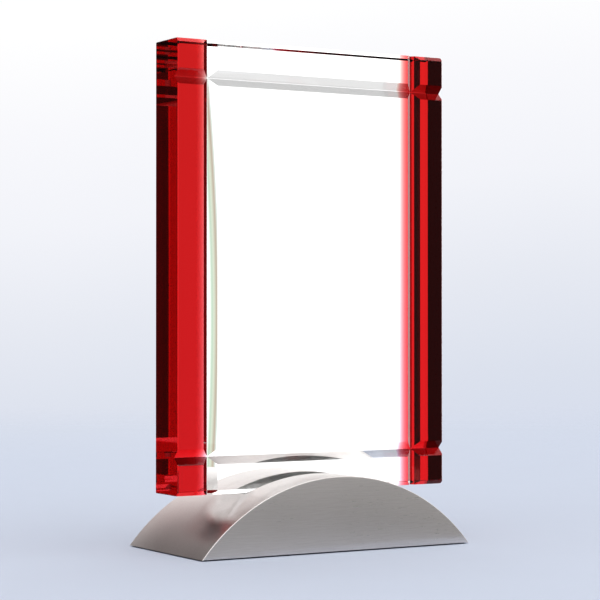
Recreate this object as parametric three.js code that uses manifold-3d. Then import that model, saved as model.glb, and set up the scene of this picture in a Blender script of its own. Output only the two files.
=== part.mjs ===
// A crystal tablet award: a clear plate with a ruby bar bonded to each side stands in a slot milled
// across an arched aluminium base. Millimetres, +Z up. The front looks towards -Y, and the origin
// is under the middle of the base, on the surface that the award stands on.
import * as THREE from "three";
import { mergeVertices } from "three/addons/utils/BufferGeometryUtils.js";
import Module from "manifold-3d";

// Tablet
const tabletWidth = 142;
const tabletHeight = 203;
const tabletDepth = 22.2;
const barWidth = 16.4; // a ruby bar, from its outer face to the middle of its bond
const crossGrooveInset = 17; // the tablet's top or bottom face to the middle of the nearest cross groove
const grooveWidth = 7; // across the mouth of every groove
const grooveDepth = 3.5; // face to root, so the walls stand at 90 degrees
const endBevel = 1.8; // bevel along the front top and front bottom edges
const uprightEase = 0.5; // small bevel down the four upright edges
const bondThickness = 0.15; // cured adhesive between a bar and the plate

// Base
const baseWidth = 141; // where the arch comes down to the underside
const baseDepth = 71;
const baseHeight = 33.6; // underside to crown
const baseEase = 0.4; // small bevel round the front and back faces
const slotDepth = 8; // crown to slot floor
const slotForward = 2.5; // the slot's middle lies this far in front of the base's middle
const slotClearance = 0.3; // slot wall to tablet face, front and back
const bedThickness = 0.4; // adhesive under the tablet
const adhesiveSetback = 0.3; // the adhesive stops this far under the arch surface
const archSegments = 36; // straight steps in the arch

// Pad
const padThickness = 0.5;
const padInset = 4; // edge of the base to edge of the pad
const padCorner = 3; // corner radius

// Places that follow from the sizes above
const archRadius = ((baseWidth / 2) ** 2 + baseHeight ** 2) / (2 * baseHeight);
const frontFace = -tabletDepth / 2;
const sideFace = tabletWidth / 2;
const bondX = sideFace - barWidth;
const tabletBottom = padThickness + baseHeight - slotDepth + bedThickness;
const overcut = 2; // how far a cutting shape reaches past what it cuts

const wasm = await Module();
wasm.setup();

// Directions that an outline's first axis, its second axis and its length take.
const alongX = new THREE.Matrix4().makeBasis(
  new THREE.Vector3(0, 1, 0),
  new THREE.Vector3(0, 0, 1),
  new THREE.Vector3(1, 0, 0),
);
const alongY = new THREE.Matrix4().makeBasis(
  new THREE.Vector3(1, 0, 0),
  new THREE.Vector3(0, 0, 1),
  new THREE.Vector3(0, -1, 0),
);
const alongZ = new THREE.Matrix4();

function solidOf(geometry) {
  const bare = geometry.clone();
  bare.deleteAttribute("normal");
  bare.deleteAttribute("uv");
  const merged = mergeVertices(bare, 1e-4);
  return new wasm.Manifold(
    new wasm.Mesh({
      numProp: 3,
      vertProperties: new Float32Array(merged.attributes.position.array),
      triVerts: new Uint32Array(merged.index.array),
    }),
  );
}

function geometryOf(solid) {
  const { vertProperties, triVerts } = solid.getMesh();
  const geometry = new THREE.BufferGeometry();
  geometry.setAttribute("position", new THREE.BufferAttribute(vertProperties, 3));
  geometry.setIndex(new THREE.BufferAttribute(triVerts, 1));
  const faceted = geometry.toNonIndexed();
  faceted.computeVertexNormals();
  return faceted;
}

// A straight prism of an outline, centred on its own length.
function prism(outline, length, direction) {
  const shape = new THREE.Shape(outline.map(([u, v]) => new THREE.Vector2(u, v)));
  const geometry = new THREE.ExtrudeGeometry(shape, { depth: length, bevelEnabled: false });
  geometry.translate(0, 0, -length / 2);
  return solidOf(geometry.applyMatrix4(direction));
}

// A box between two x values, tall and deep enough to hold the whole tablet.
function slab(fromX, toX) {
  const geometry = new THREE.BoxGeometry(toX - fromX, 2 * tabletDepth, 2 * tabletHeight);
  geometry.translate((fromX + toX) / 2, 0, tabletHeight / 2);
  return solidOf(geometry);
}

// Tablet frame: the origin is in the middle of the tablet's bottom face.

// A groove's section about its middle: the root, then the walls carried on past the face.
function grooveSection(middle, outward) {
  const slope = grooveWidth / 2 / grooveDepth;
  const half = grooveWidth / 2 + overcut * slope;
  return [
    [middle, outward * (tabletDepth / 2 - grooveDepth)],
    [middle + half, outward * (tabletDepth / 2 + overcut)],
    [middle - half, outward * (tabletDepth / 2 + overcut)],
  ];
}

// The corner cut off by a bevel: two points on the bevel's line, past both faces, and one outside.
function cornerSection(cornerU, cornerV, size) {
  const signU = Math.sign(cornerU);
  const signV = Math.sign(cornerV);
  return [
    [cornerU + signU * overcut, cornerV - signV * (size + overcut)],
    [cornerU + signU * overcut, cornerV + signV * overcut],
    [cornerU - signU * (size + overcut), cornerV + signV * overcut],
  ];
}

// The whole tablet as it is ground after bonding, before it is taken back to its separate pieces.
function tabletBlank() {
  const cutLength = tabletWidth + 2 * overcut;
  const cutHeight = tabletHeight + 2 * overcut;
  let blank = solidOf(
    new THREE.BoxGeometry(tabletWidth, tabletDepth, tabletHeight).translate(0, 0, tabletHeight / 2),
  );
  const upright = (outline) => prism(outline, cutHeight, alongZ).translate(0, 0, tabletHeight / 2);
  for (const side of [-1, 1]) {
    blank = blank.subtract(upright(grooveSection(side * bondX, -1)));
    for (const face of [-1, 1])
      blank = blank.subtract(
        upright(cornerSection(side * sideFace, (face * tabletDepth) / 2, uprightEase)),
      );
  }
  for (const height of [crossGrooveInset, tabletHeight - crossGrooveInset]) {
    const section = grooveSection(height, -1).map(([z, y]) => [y, z]);
    blank = blank.subtract(prism(section, cutLength, alongX));
  }
  const topCorner = cornerSection(frontFace, tabletHeight, endBevel);
  const bottomCorner = topCorner.map(([y, z]) => [y, tabletHeight - z]);
  for (const corner of [topCorner, bottomCorner])
    blank = blank.subtract(prism(corner, cutLength, alongX));
  return blank;
}

// Adhesive in the slot: the slot's room, less the tablet, kept under the arch surface.
function slotAdhesive(blank) {
  const width = tabletDepth + 2 * slotClearance;
  const room = new THREE.BoxGeometry(baseWidth, width, slotDepth);
  room.translate(0, 0, slotDepth / 2 - bedThickness);
  const under = archSolid(archRadius - adhesiveSetback, 0, [
    0,
    slotForward,
    padThickness - tabletBottom,
  ]);
  return solidOf(room).subtract(blank).intersect(under);
}

// Base frame: the origin is in the middle of the underside.

// The half-moon outline between the underside and an arc about the arch's centre, run from back to
// front. ease bevels the two outlines.
function archSolid(radius, ease, shift) {
  const centreZ = baseHeight - archRadius;
  const lean = Math.asin(-centreZ / radius);
  const outline = new THREE.Shape();
  outline.absarc(0, centreZ, radius, lean, Math.PI - lean, false);
  outline.closePath();
  const geometry = new THREE.ExtrudeGeometry(outline, {
    depth: baseDepth - 2 * ease,
    curveSegments: archSegments,
    bevelEnabled: ease > 0,
    bevelThickness: ease,
    bevelSize: ease,
    bevelOffset: -ease,
    bevelSegments: 1,
  });
  geometry.translate(0, 0, -baseDepth / 2 + ease);
  return solidOf(geometry.applyMatrix4(alongY).translate(...shift));
}

function baseBlock() {
  const slot = new THREE.BoxGeometry(
    baseWidth + 2 * overcut,
    tabletDepth + 2 * slotClearance,
    slotDepth + overcut,
  );
  slot.translate(0, -slotForward, baseHeight - slotDepth / 2 + overcut / 2);
  return archSolid(archRadius, baseEase, [0, 0, 0]).subtract(solidOf(slot));
}

function feltPad() {
  const x = baseWidth / 2 - padInset;
  const y = baseDepth / 2 - padInset;
  const outline = new THREE.Shape();
  outline.absarc(x - padCorner, y - padCorner, padCorner, 0, Math.PI / 2, false);
  outline.absarc(padCorner - x, y - padCorner, padCorner, Math.PI / 2, Math.PI, false);
  outline.absarc(padCorner - x, padCorner - y, padCorner, Math.PI, 1.5 * Math.PI, false);
  outline.absarc(x - padCorner, padCorner - y, padCorner, 1.5 * Math.PI, 2 * Math.PI, false);
  return new THREE.ExtrudeGeometry(outline, {
    depth: padThickness,
    curveSegments: 6,
    bevelEnabled: false,
  });
}

function named(name, geometry, material) {
  const mesh = new THREE.Mesh(geometry, material);
  mesh.name = name;
  return mesh;
}

function clearCrystal() {
  return new THREE.MeshStandardMaterial({
    color: 0xf4f8f8,
    roughness: 0.02,
    metalness: 0,
    transparent: true,
    opacity: 0.35,
  });
}

function rubyCrystal() {
  return new THREE.MeshStandardMaterial({
    color: 0xc4061b,
    roughness: 0.02,
    metalness: 0,
    transparent: true,
    opacity: 0.8,
  });
}

function curedAdhesive() {
  return new THREE.MeshStandardMaterial({
    color: 0xe9edec,
    roughness: 0.15,
    metalness: 0,
    transparent: true,
    opacity: 0.5,
  });
}

function brushedAluminium() {
  return new THREE.MeshStandardMaterial({ color: 0xb4b2b0, roughness: 0.38, metalness: 1 });
}

function blackFelt() {
  return new THREE.MeshStandardMaterial({ color: 0x1b1b1d, roughness: 0.95, metalness: 0 });
}

function makeTablet() {
  const tablet = new THREE.Group();
  const blank = tabletBlank();
  const inner = bondX - bondThickness / 2;
  const outer = bondX + bondThickness / 2;
  const past = sideFace + overcut;
  const piece = (name, fromX, toX, material) =>
    tablet.add(named(name, geometryOf(blank.intersect(slab(fromX, toX))), material));
  piece("clear_plate", -inner, inner, clearCrystal());
  piece("bond_film_left", -outer, -inner, curedAdhesive());
  piece("bond_film_right", inner, outer, curedAdhesive());
  piece("red_bar_left", -past, -outer, rubyCrystal());
  piece("red_bar_right", outer, past, rubyCrystal());
  tablet.add(named("slot_adhesive", geometryOf(slotAdhesive(blank)), curedAdhesive()));
  tablet.position.set(0, -slotForward, tabletBottom);
  return tablet;
}

function makeBase() {
  const base = new THREE.Group();
  base.add(named("base_block", geometryOf(baseBlock()), brushedAluminium()));
  base.position.z = padThickness;
  return base;
}

const award = new THREE.Group();
award.add(makeTablet(), makeBase(), named("felt_pad", feltPad(), blackFelt()));

export default award;
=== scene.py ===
# Crystal tablet award: a clear plate with two ruby bars, bonded into an arched aluminium base
# on a felt pad. Metres, +Z up, the front looks towards -Y.
import bmesh
import bpy
import math
import numpy as np
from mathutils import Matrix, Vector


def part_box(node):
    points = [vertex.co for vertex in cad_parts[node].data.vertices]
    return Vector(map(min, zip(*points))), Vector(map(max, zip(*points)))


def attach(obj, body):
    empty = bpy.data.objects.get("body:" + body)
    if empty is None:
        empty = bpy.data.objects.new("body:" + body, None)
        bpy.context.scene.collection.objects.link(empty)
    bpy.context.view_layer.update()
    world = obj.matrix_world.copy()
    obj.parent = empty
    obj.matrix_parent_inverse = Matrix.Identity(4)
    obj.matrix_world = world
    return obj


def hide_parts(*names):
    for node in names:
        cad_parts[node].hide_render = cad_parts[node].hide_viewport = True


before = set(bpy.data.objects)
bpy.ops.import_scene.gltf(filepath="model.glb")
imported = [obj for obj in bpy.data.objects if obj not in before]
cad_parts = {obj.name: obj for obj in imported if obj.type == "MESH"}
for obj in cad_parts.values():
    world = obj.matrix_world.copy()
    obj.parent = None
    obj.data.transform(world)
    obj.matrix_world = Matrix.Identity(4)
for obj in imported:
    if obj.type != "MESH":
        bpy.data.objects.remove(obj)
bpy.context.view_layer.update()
print("frame loaded,", len(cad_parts), "nodes")

scene = bpy.context.scene
scene.view_settings.view_transform = "Standard"
scene.view_settings.look = "High Contrast"
scene.cycles.max_bounces = 28
scene.cycles.transmission_bounces = 28
scene.cycles.glossy_bounces = 8
scene.cycles.diffuse_bounces = 3
scene.cycles.transparent_max_bounces = 16
scene.cycles.sample_clamp_indirect = 8
scene.cycles.use_denoising = True

studioCamera = {
    "place": (-0.48571, -0.81113, 0.10452),
    "turn": 30.908,  # degrees from +Y towards +X
    "tilt": 0.555,  # degrees above level
    "lens": 122.07,
    "sensor": 36.0,
}


def makeCamera(setup):
    data = bpy.data.cameras.new("studioCamera")
    data.sensor_width = setup["sensor"]
    data.lens = setup["lens"]
    data.clip_start = 0.05
    data.clip_end = 50.0
    camera = bpy.data.objects.new("studioCamera", data)
    camera.location = setup["place"]
    camera.rotation_euler = (math.radians(90 + setup["tilt"]), 0, -math.radians(setup["turn"]))
    scene.collection.objects.link(camera)
    scene.camera = camera


makeCamera(studioCamera)


# Small helpers that wire shader nodes
def feed(tree, socket, value):
    if isinstance(value, bpy.types.NodeSocket):
        tree.links.new(value, socket)
    else:
        socket.default_value = value


def addNode(tree, kind, settings=None, inputs=None):
    node = tree.nodes.new(kind)
    for key, value in (settings or {}).items():
        setattr(node, key, value)
    for key, value in (inputs or {}).items():
        feed(tree, node.inputs[key], value)
    return node


def maths(tree, operation, a, b=0.0):
    return addNode(tree, "ShaderNodeMath", {"operation": operation}, {0: a, 1: b}).outputs[0]


def remap(tree, value, fromLow, fromHigh, toLow=0.0, toHigh=1.0, shape="SMOOTHSTEP"):
    numbers = {0: value, 1: fromLow, 2: fromHigh, 3: toLow, 4: toHigh}
    return addNode(tree, "ShaderNodeMapRange", {"interpolation_type": shape}, numbers).outputs[0]


def mixColour(tree, share, a, b, kind="MIX"):
    settings = {"data_type": "RGBA", "blend_type": kind}
    return addNode(tree, "ShaderNodeMix", settings, {0: share, 6: a, 7: b}).outputs[2]


def ramp(tree, value, stops, shape="LINEAR"):
    node = addNode(tree, "ShaderNodeValToRGB", None, {0: value})
    node.color_ramp.interpolation = shape
    elements = node.color_ramp.elements
    while len(elements) < len(stops):
        elements.new(1.0)
    for element, (place, colour) in zip(elements, stops):
        element.position = place
        element.color = colour
    return node.outputs[0]


def noise(tree, vector, scale, detail=2.0, roughness=0.5):
    inputs = {"Vector": vector, "Scale": scale, "Detail": detail, "Roughness": roughness}
    return addNode(tree, "ShaderNodeTexNoise", None, inputs).outputs[0]


def stretched(tree, scale):
    # object coordinates multiplied by a number per axis
    place = addNode(tree, "ShaderNodeTexCoord").outputs["Object"]
    return addNode(tree, "ShaderNodeMapping", None, {"Vector": place, "Scale": scale}).outputs[0]


def grey(level, warmth=0.0):
    return (level * (1 + warmth), level * (1 - warmth / 2), level * (1 - warmth / 2), 1.0)


# Room light. Each band is a list of (degrees from +Y towards +X, brightness, and warmth if any).
studioRoom = {
    "floorBand": [
        (-180, 0.85), (-120, 0.70), (-60, 0.45), (0, 0.45), (20, 0.43), (45, 0.43), (70, 0.20),
        (85, 0.03), (118, 0.03), (135, 1.1), (180, 1.1),
    ],
    "eyeBand": [
        (-180, 0.20), (-150, 0.25), (-120, 0.30), (-104, 0.85), (-86, 0.85), (-76, 0.07),
        (-60, 0.045), (-25, 0.045), (-15, 0.08), (-9, 0.22), (-4, 0.55), (4, 1.0), (14, 1.1),
        (24, 0.92), (29, 0.94), (34, 1.12), (44, 1.2), (61, 1.15), (66, 0.42), (90, 0.5),
        (112, 0.45), (132, 0.28), (146, 0.19), (165, 0.19), (180, 0.20),
    ],
    "upperBand": [
        (-180, 1.0), (-120, 0.90), (-80, 0.50), (-60, 0.07), (-8, 0.09, 0.14), (6, 0.48, 0.14),
        (20, 1.1, 0.02), (50, 1.05), (80, 0.8), (125, 0.8), (145, 1.15), (180, 1.15),
    ],
    "highBand": [
        (-180, 1.1), (-90, 0.8), (-55, 0.16), (-8, 0.17, 0.12), (8, 0.56, 0.08), (24, 0.60),
        (50, 0.58), (70, 0.8), (180, 1.1),
    ],
    # sine of the elevation across which each band gives way to the next one up
    "toEye": (-0.34, -0.20),
    "toUpper": (0.22, 0.36),
    "toHigh": (0.45, 0.57),
    "toCeiling": (0.66, 0.88),
    "ceiling": (0.95, 0.95, 0.96, 1.0),
    # a white card low behind the award; directions along its straight lower edge give zero when
    # multiplied by "edge", and "side" is how many degrees its two ends take to fade
    "card": {"from": 24, "to": 50, "side": 3, "edge": (0.3891, 0.2610, 1.0), "level": 1.15,
             "soft": 0.002, "top": (-0.15, -0.27)},
    # a narrow tinted strip on the wall, in degrees; it stands in for the coloured fringe of a cut
    # edge, which this renderer can't split out of white light
    "glint": {
        "from": 58.15, "to": 58.75, "height": (0.22, 0.12),
        "colours": [
            (0.0, (1, 1, 1, 1)), (0.20, (0.90, 0.90, 0.88, 1)), (0.45, (0.40, 0.50, 0.41, 1)),
            (0.60, (0.50, 0.54, 0.45, 1)), (0.80, (0.38, 0.32, 0.26, 1)), (1.0, (0.60, 0.68, 0.66, 1)),
        ],
    },
    "peak": 1.5,  # brightness that a ramp colour of one stands for
    # what the camera meets behind the floor, from low to high
    "sweep": [
        (0.0, (0.455, 0.492, 0.570, 1)), (0.10, (0.470, 0.503, 0.580, 1)),
        (0.255, (0.500, 0.530, 0.602, 1)), (0.373, (0.526, 0.550, 0.608, 1)),
        (0.531, (0.575, 0.590, 0.632, 1)), (0.69, (0.632, 0.638, 0.667, 1)),
        (0.847, (0.662, 0.663, 0.683, 1)), (1.0, (0.700, 0.700, 0.700, 1)),
    ],
    "sweepReach": 0.155,  # sine of the elevation at the ends of the sweep
    "sweepLean": 0.05,  # how much the sweep is lighter on its left and darker on its right
    "sweepHalf": 0.12,  # radians either side of its middle over which it leans
}


def makeRoom(setup):
    world = bpy.data.worlds.new("studioRoom")
    scene.world = world
    world.use_nodes = True
    tree = world.node_tree
    tree.nodes.clear()
    direction = addNode(tree, "ShaderNodeTexCoord").outputs["Generated"]
    x, y, z = addNode(tree, "ShaderNodeSeparateXYZ", None, {0: direction}).outputs
    turn = remap(tree, maths(tree, "ARCTAN2", x, y), -math.pi, math.pi, shape="LINEAR")

    def band(name):
        stops = [
            ((degrees + 180) / 360, grey(level / setup["peak"], *warmth))
            for degrees, level, *warmth in setup[name]
        ]
        return ramp(tree, turn, stops)

    walls = mixColour(tree, remap(tree, z, *setup["toEye"]), band("floorBand"), band("eyeBand"))
    walls = mixColour(tree, remap(tree, z, *setup["toUpper"]), walls, band("upperBand"))
    walls = mixColour(tree, remap(tree, z, *setup["toHigh"]), walls, band("highBand"))
    walls = mixColour(tree, 1.0, walls, grey(setup["peak"]), "MULTIPLY")
    bearing = maths(tree, "ARCTAN2", x, y)
    glint = setup["glint"]
    across = remap(tree, bearing, math.radians(glint["from"]), math.radians(glint["to"]), shape="LINEAR")
    level = remap(tree, maths(tree, "ABSOLUTE", z), *glint["height"])
    inside = maths(tree, "MULTIPLY", level, maths(tree, "LESS_THAN", across, 0.9999))
    tinted = mixColour(tree, 1.0, walls, ramp(tree, across, glint["colours"]), "MULTIPLY")
    walls = mixColour(tree, inside, walls, tinted)
    card = setup["card"]
    first, last, side = card["from"], card["to"], card["side"]
    product = {0: direction, 1: card["edge"]}
    over = addNode(tree, "ShaderNodeVectorMath", {"operation": "DOT_PRODUCT"}, product).outputs["Value"]
    lower = remap(tree, over, -card["soft"], card["soft"])
    upper = remap(tree, z, *card["top"])
    start = remap(tree, bearing, math.radians(first), math.radians(first + side))
    end = remap(tree, bearing, math.radians(last), math.radians(last - side))
    share = maths(tree, "MULTIPLY", lower, upper)
    share = maths(tree, "MULTIPLY", share, maths(tree, "MULTIPLY", start, end))
    walls = mixColour(tree, share, walls, grey(card["level"]))
    room = mixColour(tree, remap(tree, z, *setup["toCeiling"]), walls, setup["ceiling"])
    reach, lean, half = setup["sweepReach"], setup["sweepLean"], setup["sweepHalf"]
    middle = math.radians(studioCamera["turn"])
    aside = remap(tree, bearing, middle - half, middle + half, lean, -lean, "LINEAR")
    upright = remap(tree, z, -reach, reach, shape="LINEAR")
    sweep = ramp(tree, maths(tree, "ADD", upright, aside), setup["sweep"])
    straight = addNode(tree, "ShaderNodeLightPath").outputs["Is Camera Ray"]
    colour = mixColour(tree, straight, room, sweep)
    background = addNode(tree, "ShaderNodeBackground", None, {0: colour})
    addNode(tree, "ShaderNodeOutputWorld", None, {0: background.outputs[0]})
    world.cycles.sampling_method = "MANUAL"
    world.cycles.sample_map_resolution = 1024


makeRoom(studioRoom)
print("room lit")


# Finishes
crystalLook = {
    "index": 1.517,
    "clear": (0.995, 1.0, 0.998, 1.0),
    "clearTop": (1.0, 1.0, 1.0, 1.0),
}
rubyLook = {
    "absorbs": (0.836, 0.0, 0.03, 1.0),
    "perMetre": 165.0,
    "top": (1.0, 1.0, 0.93, 1.0),
    "bottom": (1.0, 0.85, 1.0, 1.0),
}
metalLook = {
    "colour": (0.77, 0.74, 0.725, 1.0),
    "dark": (0.69, 0.66, 0.645, 1.0),
    "roughness": (0.27, 0.35),
    "anisotropy": 0.55,
    "grain": (110.0, 3200.0, 3200.0),  # per metre along X, Y and Z
    "grainDepth": 0.00001,
}
feltLook = {"fibre": (0.030, 0.030, 0.032, 1.0), "lint": (0.075, 0.073, 0.075, 1.0)}
adhesiveLook = {"tint": (0.93, 0.95, 0.95, 1.0), "index": 1.50, "roughness": 0.08}


def newMaterial(name):
    material = bpy.data.materials.new(name)
    material.use_nodes = True
    tree = material.node_tree
    tree.nodes.clear()
    return material, tree, addNode(tree, "ShaderNodeOutputMaterial")


def polishedCrystal(name, low, high, lowZ, highZ):
    # Glass whose tint runs from low to high, with faint wiped patches. Where the mesh's bonded
    # attribute is 1 the index is that of air, so that light crosses the cemented faces straight.
    material, tree, output = newMaterial(name)
    place = stretched(tree, (1, 1, 1))
    height = addNode(tree, "ShaderNodeSeparateXYZ", None, {0: place}).outputs[2]
    tint = mixColour(tree, remap(tree, height, lowZ, highZ, shape="LINEAR"), low, high)
    wipes = noise(tree, stretched(tree, (9, 9, 26)), 1.0, 3.0)
    faint = mixColour(tree, remap(tree, wipes, 0.45, 0.75), tint, (0.985, 0.985, 0.985, 1.0), "MULTIPLY")
    bonded = addNode(tree, "ShaderNodeAttribute", {"attribute_name": "bonded"}).outputs["Fac"]
    index = remap(tree, bonded, 0, 1, crystalLook["index"], 1.0, "LINEAR")
    inputs = {"Base Color": faint, "Roughness": 0.0, "IOR": index, "Transmission Weight": 1.0}
    shader = addNode(tree, "ShaderNodeBsdfPrincipled", None, inputs)
    tree.links.new(shader.outputs[0], output.inputs["Surface"])
    return material, tree, output


def clearCrystal(lowZ, highZ):
    return polishedCrystal("clearCrystal", crystalLook["clear"], crystalLook["clearTop"], lowZ, highZ)[0]


def rubyCrystal(lowZ, highZ):
    low, high = rubyLook["bottom"], rubyLook["top"]
    material, tree, output = polishedCrystal("rubyCrystal", low, high, lowZ, highZ)
    volume = addNode(tree, "ShaderNodeVolumeAbsorption")
    volume.inputs["Color"].default_value = rubyLook["absorbs"]
    volume.inputs["Density"].default_value = rubyLook["perMetre"]
    tree.links.new(volume.outputs[0], output.inputs["Volume"])
    return material


def curedAdhesive():
    material, tree, output = newMaterial("curedAdhesive")
    cloud = noise(tree, stretched(tree, (300, 300, 300)), 1.0, 3.0)
    tint = mixColour(tree, remap(tree, cloud, 0.35, 0.7), adhesiveLook["tint"], (0.80, 0.83, 0.83, 1.0))
    inputs = {
        "Base Color": tint,
        "Roughness": adhesiveLook["roughness"],
        "IOR": adhesiveLook["index"],
        "Transmission Weight": 0.85,
    }
    shader = addNode(tree, "ShaderNodeBsdfPrincipled", None, inputs)
    tree.links.new(shader.outputs[0], output.inputs["Surface"])
    return material


def brushedAluminium():
    # Fine grain along X: noise squeezed across the other two axes drives the colour, the roughness
    # and a shallow bump.
    material, tree, output = newMaterial("brushedAluminium")
    grain = noise(tree, stretched(tree, metalLook["grain"]), 1.0, 4.0, 0.65)
    cloud = noise(tree, stretched(tree, (22, 22, 22)), 1.0, 3.0)
    tone = maths(tree, "ADD", maths(tree, "MULTIPLY", grain, 0.7), maths(tree, "MULTIPLY", cloud, 0.3))
    colour = mixColour(tree, remap(tree, tone, 0.35, 0.65), metalLook["dark"], metalLook["colour"])
    low, high = metalLook["roughness"]
    rough = remap(tree, tone, 0.3, 0.7, high, low)
    bumpInputs = {"Strength": 0.2, "Distance": metalLook["grainDepth"], "Height": grain}
    bump = addNode(tree, "ShaderNodeBump", None, bumpInputs)
    tangent = addNode(tree, "ShaderNodeTangent", {"direction_type": "UV_MAP", "uv_map": "grain"})
    inputs = {
        "Base Color": colour,
        "Metallic": 1.0,
        "Roughness": rough,
        "Anisotropic": metalLook["anisotropy"],
        "Anisotropic Rotation": 0.25,
        "Tangent": tangent.outputs[0],
        "Normal": bump.outputs[0],
    }
    shader = addNode(tree, "ShaderNodeBsdfPrincipled", None, inputs)
    tree.links.new(shader.outputs[0], output.inputs["Surface"])
    return material


def blackFelt():
    material, tree, output = newMaterial("blackFelt")
    place = stretched(tree, (1, 1, 1))
    fibres = noise(tree, place, 2600.0, 4.0, 0.7)
    clumps = noise(tree, place, 240.0, 2.0)
    colour = mixColour(tree, remap(tree, fibres, 0.4, 0.75), feltLook["fibre"], feltLook["lint"])
    height = maths(tree, "ADD", fibres, clumps)
    bump = addNode(tree, "ShaderNodeBump", None, {"Strength": 0.6, "Distance": 0.0002, "Height": height})
    inputs = {"Base Color": colour, "Roughness": 0.95, "Sheen Weight": 0.3, "Normal": bump.outputs[0]}
    shader = addNode(tree, "ShaderNodeBsdfPrincipled", None, inputs)
    tree.links.new(shader.outputs[0], output.inputs["Surface"])
    return material


# Mesh helpers
def makePiece(name, points, faceLists, material, smooth=False):
    # points is n by 3, and each entry of faceLists is an array of rows of corner numbers
    faces = [row for block in faceLists for row in np.asarray(block).tolist()]
    mesh = bpy.data.meshes.new(name)
    mesh.from_pydata(points.tolist(), [], faces)
    mesh.materials.append(material)
    work = bmesh.new()
    work.from_mesh(mesh)
    bmesh.ops.remove_doubles(work, verts=work.verts, dist=1e-7)
    bmesh.ops.dissolve_degenerate(work, edges=work.edges, dist=1e-7)
    bmesh.ops.recalc_face_normals(work, faces=work.faces)
    work.to_mesh(mesh)
    work.free()
    mesh.polygons.foreach_set("use_smooth", np.full(len(mesh.polygons), smooth))
    if smooth:
        mesh.set_sharp_from_angle(angle=math.radians(30))
    mesh.update()
    piece = bpy.data.objects.new(name, mesh)
    scene.collection.objects.link(piece)
    return piece


def faceNormals(mesh):
    normals = np.empty(len(mesh.polygons) * 3, dtype=np.float32)
    mesh.polygons.foreach_get("normal", normals)
    return normals.reshape(-1, 3)


def faceCentres(mesh):
    centres = np.empty(len(mesh.polygons) * 3, dtype=np.float32)
    mesh.polygons.foreach_get("center", centres)
    return centres.reshape(-1, 3)


def standIn(piece, node):
    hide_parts(node)
    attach(piece, "root")
    return piece


# Tablet: the plate, its two bars and the two bond films are slices of one ground block
tablet = {
    "groove": 0.0035,  # half width and depth of every groove
    "rootFlat": 0.00008,  # half width of the flat along a groove's root
    "crossInset": 0.017,
    "endBevel": 0.0018,
    "upright": 0.0005,  # ease of the two front upright edges
    "uprightBack": 0.0009,  # the same at the back
    "capEase": 0.0003,  # ease of the top and bottom faces at the sides
    "capBack": 0.0007,  # the same at the back
    "seam": 0.00001,
}


def fortyFive(distance, size):
    # depth of a 45 degree cut: size less the distance, and never under zero
    return np.clip(size - distance, 0, None)


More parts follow.
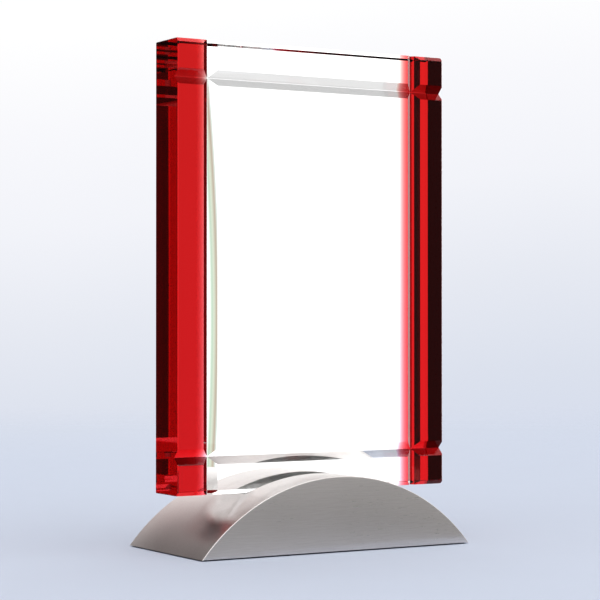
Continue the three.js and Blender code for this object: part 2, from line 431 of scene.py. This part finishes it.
def crystalSlice(name, node, material, bondSides, gap):
    # A section of the tablet stacked up z. Front depth at (x, z) is the deepest of the upright
    # grooves and eased corners at x, and of the cross grooves and end bevels at z. Every cut runs at
    # 45 degrees, so stations at each cut's own depths put all the creases on the grid or on a cell's
    # diagonal.
    blockLow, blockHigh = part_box("clear_plate")
    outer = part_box("red_bar_right")[1].x
    filmLow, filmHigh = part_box("bond_film_right")
    bond = (filmLow.x + filmHigh.x) / 2
    low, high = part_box(node)
    fromX, toX = low.x + gap, high.x - gap
    groove, flat = tablet["groove"], tablet["rootFlat"]
    bevel, ease, cap = tablet["endBevel"], tablet["upright"], tablet["capEase"]
    easeBack, capBack = tablet["uprightBack"], tablet["capBack"]
    bottom, top = blockLow.z, blockHigh.z
    crossing = np.array([bottom + tablet["crossInset"], top - tablet["crossInset"]])
    offsets = np.array([groove, groove - ease, groove - bevel, flat])
    offsets = np.concatenate([-offsets, offsets])
    ends = np.array([0.0, cap, capBack, bevel - ease, bevel])
    z = np.concatenate([bottom + ends, top - ends, (crossing[:, None] + offsets).ravel()])
    z = np.unique(np.round(z, 8))
    corners = [ease - outer, outer - ease, easeBack - outer, outer - easeBack]
    x = np.concatenate([(np.array([[-bond], [bond]]) + offsets).ravel(), corners])
    x = np.unique(np.round(np.concatenate([x[(x > fromX) & (x < toX)], [fromX, toX]]), 8))
    cutX = np.maximum.reduce([
        fortyFive(np.maximum(np.abs(x - bond), flat), groove),
        fortyFive(np.maximum(np.abs(x + bond), flat), groove),
        fortyFive(outer - np.abs(x), ease),
    ])
    cutZ = np.maximum.reduce([
        fortyFive(np.maximum(np.abs(z - crossing[0]), flat), groove),
        fortyFive(np.maximum(np.abs(z - crossing[1]), flat), groove),
        fortyFive(np.minimum(z - bottom, top - z), bevel),
    ])
    capCut = fortyFive(np.minimum(z - bottom, top - z), cap)
    backCut = fortyFive(np.minimum(z - bottom, top - z), capBack)
    rows, columns = len(z), len(x)
    front = blockLow.y + np.maximum(cutX[None, :], cutZ[:, None])
    back = blockHigh.y - np.maximum(fortyFive(outer - np.abs(x), easeBack)[None, ::-1], backCut[:, None])
    acrossX = np.clip(x[None, :], -outer + capCut[:, None], outer - capCut[:, None])
    ringX = np.concatenate([acrossX, acrossX[:, ::-1]], axis=1)
    ringY = np.concatenate([front, back], axis=1)
    ringZ = np.broadcast_to(z[:, None], ringX.shape)
    points = np.stack([ringX, ringY, ringZ], axis=2).reshape(-1, 3)
    around = 2 * columns
    row, column = np.meshgrid(np.arange(rows - 1), np.arange(around), indexing="ij")
    a = row * around + column
    b = row * around + (column + 1) % around
    c, d = b + around, a + around
    cells = np.stack([a, b, c, d], axis=-1).reshape(-1, 4)
    depth = points[:, 1][cells]
    bent = np.abs(depth[:, 0] + depth[:, 2] - depth[:, 1] - depth[:, 3]) > 1e-8
    along = np.minimum(depth[:, 0], depth[:, 2]) < np.minimum(depth[:, 1], depth[:, 3])
    one, other = cells[bent & along], cells[bent & ~along]
    triangles = np.concatenate([
        one[:, [0, 1, 2]], one[:, [0, 2, 3]], other[:, [0, 1, 3]], other[:, [1, 2, 3]],
    ])
    lids = [np.arange(around)[None, ::-1], np.arange((rows - 1) * around, rows * around)[None, :]]
    piece = makePiece(name, points, [cells[~bent], triangles, *lids], material)
    mesh = piece.data
    centres, normals = faceCentres(mesh), faceNormals(mesh)
    onLeft = (centres[:, 0] < fromX + 1e-6) & (normals[:, 0] < -0.99) & ("left" in bondSides)
    onRight = (centres[:, 0] > toX - 1e-6) & (normals[:, 0] > 0.99) & ("right" in bondSides)
    bonded = mesh.attributes.new("bonded", "FLOAT", "FACE")
    bonded.data.foreach_set("value", (onLeft | onRight).astype(np.float32))
    return piece


plateLow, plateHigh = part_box("clear_plate")
clear = clearCrystal(plateLow.z, plateHigh.z)
ruby = rubyCrystal(plateLow.z, plateHigh.z)
slices = [
    ("clearPlate", "clear_plate", clear, ("left", "right"), 0.0, "clear_crystal"),
    ("rubyBarLeft", "red_bar_left", ruby, ("right",), 0.0, "ruby_crystal"),
    ("rubyBarRight", "red_bar_right", ruby, ("left",), 0.0, "ruby_crystal"),
    ("bondFilmLeft", "bond_film_left", clear, ("left", "right"), tablet["seam"], "cured_adhesive"),
    ("bondFilmRight", "bond_film_right", clear, ("left", "right"), tablet["seam"], "cured_adhesive"),
]
for name, node, material, sides, gap, slotName in slices:
    standIn(crystalSlice(name, node, material, sides, gap), node)
print("tablet cut")

# Base: a half-moon block with a slot milled across its crown
base = {
    "edge": 0.0004,  # rounding of the arch's front and back edges
    "lip": 0.00025,  # rounding of the slot's two upper lips
    "slotDepth": 0.008,
    "slotRoom": 0.0003,  # slot wall to tablet face
    "archSteps": 120,
    "roundSteps": 4,
}
baseLow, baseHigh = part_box("base_block")
halfWidth = (baseHigh.x - baseLow.x) / 2
rise = baseHigh.z - baseLow.z
archRadius = (halfWidth ** 2 + rise ** 2) / (2 * rise)
archCentre = baseHigh.z - archRadius
slotFloor = baseHigh.z - base["slotDepth"]


def grainMap(piece):
    # U runs along X and V along the other long axis of each face, so the grain lies along X
    mesh = piece.data
    layer = mesh.uv_layers.new(name="grain")
    corners = np.empty(len(mesh.loops), dtype=np.int32)
    mesh.loops.foreach_get("vertex_index", corners)
    places = np.empty(len(mesh.vertices) * 3, dtype=np.float32)
    mesh.vertices.foreach_get("co", places)
    places = places.reshape(-1, 3)[corners]
    sizes = np.empty(len(mesh.polygons), dtype=np.int32)
    mesh.polygons.foreach_get("loop_total", sizes)
    facing = np.repeat(np.abs(faceNormals(mesh)[:, 1]) > 0.7, sizes)
    second = np.where(facing, places[:, 2], places[:, 1])
    flat = np.stack([places[:, 0], second], axis=1) / (2 * halfWidth) + 0.5
    layer.data.foreach_set("uv", flat.astype(np.float32).ravel())


def archBlock(name, material):
    # Profiles stacked along Y. Each is an arc of radius (arch radius less inset) about the arch's
    # centre, from underside to underside; in the slot its height is held at the slot floor, and
    # beside the slot it drops by the lip's rounding, but never under the slot floor.
    turn = np.linspace(0, math.pi / 2, base["roundSteps"] + 1)
    edge, lip = base["edge"], base["lip"]
    slotFront, slotBack = plateLow.y - base["slotRoom"], plateHigh.y + base["slotRoom"]
    count = len(turn)
    y = np.concatenate([
        baseLow.y + edge * (1 - np.cos(turn)), slotFront - lip + lip * np.sin(turn),
        [slotFront, slotBack],
        slotBack + lip - lip * np.sin(turn[::-1]), baseHigh.y - edge * (1 - np.cos(turn[::-1])),
    ])
    rounded = edge * (1 - np.sin(turn))
    inset = np.concatenate([rounded, np.zeros(2 * count + 2), rounded[::-1]])
    lipDrop = lip * (1 - np.cos(turn))
    drop = np.concatenate([np.zeros(count), lipDrop, [1.0, 1.0], lipDrop[::-1], np.zeros(count)])
    half = math.acos((baseLow.z - archCentre) / archRadius)
    levels = [slotFloor + extra - archCentre for extra in (0, lip / 2, lip)]
    meet = [math.acos(level / archRadius) / half for level in levels]
    share = np.linspace(-1, 1, base["archSteps"] + 1)
    share = np.unique(np.concatenate([share, meet, np.negative(meet)]))
    radius = (archRadius - inset)[:, None]
    underside = (baseLow.z + inset / 2)[:, None]
    angle = np.arccos((underside - archCentre) / radius) * share[None, :]
    arcX, arcZ = radius * np.sin(angle), archCentre + radius * np.cos(angle)
    arcZ = np.maximum(np.minimum(arcZ, slotFloor), arcZ - drop[:, None])
    points = np.stack([arcX, np.broadcast_to(y[:, None], arcX.shape), arcZ], axis=2).reshape(-1, 3)
    rows, columns = arcX.shape
    row, column = np.meshgrid(np.arange(rows - 1), np.arange(columns), indexing="ij")
    a = row * columns + column
    b = row * columns + (column + 1) % columns
    quads = np.stack([a, a + columns, b + columns, b], axis=-1).reshape(-1, 4)
    lids = [np.arange(columns)[None, :], np.arange((rows - 1) * columns, rows * columns)[None, ::-1]]
    piece = makePiece(name, points, [quads, *lids], material, smooth=True)
    grainMap(piece)
    return piece


standIn(archBlock("archBase", brushedAluminium()), "base_block")

# Adhesive that fills the slot round the tablet's foot
bed = {"setback": 0.0003, "skin": 0.00002, "steps": 60}


def adhesiveTray(name, material):
    # A U-shaped section carried along X. The bed lies between the slot floor and the tablet, and its
    # two thin walls rise to the arch less a setback. skin is the clearance to the metal and glass.
    skin = bed["skin"]
    low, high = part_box("slot_adhesive")
    reach = math.sqrt((archRadius - bed["setback"]) ** 2 - (slotFloor + skin - archCentre) ** 2)
    x = np.linspace(-reach, reach, bed["steps"] + 1)
    top = archCentre + np.sqrt((archRadius - bed["setback"]) ** 2 - x ** 2)
    floorZ = slotFloor + skin
    seat = np.minimum(plateLow.z - skin, top)
    top = np.maximum(top, floorZ + 1e-5)
    seat = np.maximum(seat, floorZ + 1e-5)
    outerFront, outerBack = low.y + skin, high.y - skin
    innerFront, innerBack = plateLow.y + tablet["endBevel"], plateHigh.y + skin
    wallTop = np.maximum(top, seat)
    meetFront = plateLow.y - skin
    ones = np.ones_like(x)
    bevelTop = np.minimum(plateLow.z + tablet["endBevel"], wallTop)
    slide = np.clip(bevelTop - plateLow.z, 0, tablet["endBevel"])
    section = [
        (outerFront * ones, floorZ * ones), (outerBack * ones, floorZ * ones),
        (outerBack * ones, wallTop), (innerBack * ones, wallTop),
        (innerBack * ones, seat), (innerFront * ones, seat),
        (innerFront - slide - skin, np.maximum(bevelTop, seat)), (meetFront * ones, wallTop),
        (outerFront * ones, wallTop),
    ]
    ringY = np.stack([pair[0] for pair in section], axis=1)
    ringZ = np.stack([pair[1] for pair in section], axis=1)
    points = np.stack([np.broadcast_to(x[:, None], ringY.shape), ringY, ringZ], axis=2).reshape(-1, 3)
    rows, around = ringY.shape
    row, column = np.meshgrid(np.arange(rows - 1), np.arange(around), indexing="ij")
    a = row * around + column
    b = row * around + (column + 1) % around
    quads = np.stack([a, b, b + around, a + around], axis=-1).reshape(-1, 4)
    lids = [np.arange(around)[None, ::-1], np.arange((rows - 1) * around, rows * around)[None, :]]
    return makePiece(name, points, [quads, *lids], material)


standIn(adhesiveTray("slotAdhesive", curedAdhesive()), "slot_adhesive")

# Felt pad
pad = {"corner": 0.003, "round": 0.00022, "cornerSteps": 10, "roundSteps": 4}


def feltPad(name, material):
    # Rounded rectangle rings stacked up z: each ring is the outline drawn in by the edge's quarter round.
    low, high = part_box("felt_pad")
    turn = np.linspace(0, math.pi / 2, pad["roundSteps"] + 1)
    soft = pad["round"]
    draw = np.concatenate([soft * (1 - np.sin(turn)), soft * (1 - np.sin(turn[::-1]))])
    z = np.concatenate([low.z + soft * (1 - np.cos(turn)), high.z - soft * (1 - np.cos(turn[::-1]))])
    quarter = np.linspace(0, math.pi / 2, pad["cornerSteps"] + 1)
    angle = np.concatenate([quarter + k * math.pi / 2 for k in range(4)])
    signX = np.repeat([1, -1, -1, 1], len(quarter))
    signY = np.repeat([1, 1, -1, -1], len(quarter))
    corner = pad["corner"]
    radius = corner - draw[:, None]
    ringX = signX * (high.x - corner) + radius * np.cos(angle)
    ringY = signY * (high.y - corner) + radius * np.sin(angle)
    points = np.stack([ringX, ringY, np.broadcast_to(z[:, None], ringX.shape)], axis=2).reshape(-1, 3)
    rows, around = ringX.shape
    row, column = np.meshgrid(np.arange(rows - 1), np.arange(around), indexing="ij")
    a = row * around + column
    b = row * around + (column + 1) % around
    quads = np.stack([a, b, b + around, a + around], axis=-1).reshape(-1, 4)
    lids = [np.arange(around)[None, ::-1], np.arange((rows - 1) * around, rows * around)[None, :]]
    return makePiece(name, points, [quads, *lids], material, smooth=True)


standIn(feltPad("feltPad", blackFelt()), "felt_pad")
print("base and pad made")

# Floor: a pale disc that melts into the sweep behind it
paleFloor = {
    "colour": (0.624, 0.668, 0.757, 1.0),
    "radius": 1.7,
    "seenFade": (0.30, 1.60),  # radii between which the camera sees it melt away
    "litFade": (0.085, 0.12),  # the same for every ray that isn't the camera's own
    "mottle": 0.985,  # tone of the darker patches
}


def makeFloor(setup):
    # rings of points: radius by angle, flat at z = 0
    radii = np.linspace(0, setup["radius"], 12)[1:]
    angles = np.linspace(0, 2 * np.pi, 96, endpoint=False)
    r, t = np.meshgrid(radii, angles, indexing="ij")
    points = np.stack([r * np.cos(t), r * np.sin(t), np.zeros_like(r)], axis=2).reshape(-1, 3)
    around = len(angles)
    row, column = np.meshgrid(np.arange(len(radii) - 1), np.arange(around), indexing="ij")
    a = row * around + column
    b = row * around + (column + 1) % around
    quads = np.stack([a, a + around, b + around, b], axis=-1).reshape(-1, 4)
    material, tree, output = newMaterial("paleFloor")
    place = stretched(tree, (1, 1, 1))
    mottle = noise(tree, place, 30.0, 3.0)
    darker = tuple(setup["mottle"] * value for value in setup["colour"][:3]) + (1.0,)
    tone = mixColour(tree, mottle, setup["colour"], darker)
    distance = addNode(tree, "ShaderNodeVectorMath", {"operation": "LENGTH"}, {0: place}).outputs["Value"]
    seen = remap(tree, distance, *setup["seenFade"])
    lit = remap(tree, distance, *setup["litFade"])
    straight = addNode(tree, "ShaderNodeLightPath").outputs["Is Camera Ray"]
    share = maths(tree, "ADD", maths(tree, "MULTIPLY", straight, seen),
                  maths(tree, "MULTIPLY", maths(tree, "SUBTRACT", 1.0, straight), lit))
    diffuse = addNode(tree, "ShaderNodeBsdfDiffuse", None, {0: tone})
    through = addNode(tree, "ShaderNodeBsdfTransparent")
    shaders = {0: share, 1: diffuse.outputs[0], 2: through.outputs[0]}
    mixed = addNode(tree, "ShaderNodeMixShader", None, shaders)
    tree.links.new(mixed.outputs[0], output.inputs["Surface"])
    floor = makePiece("paleFloor", points, [np.arange(around)[None, :], quads], material)


makeFloor(paleFloor)
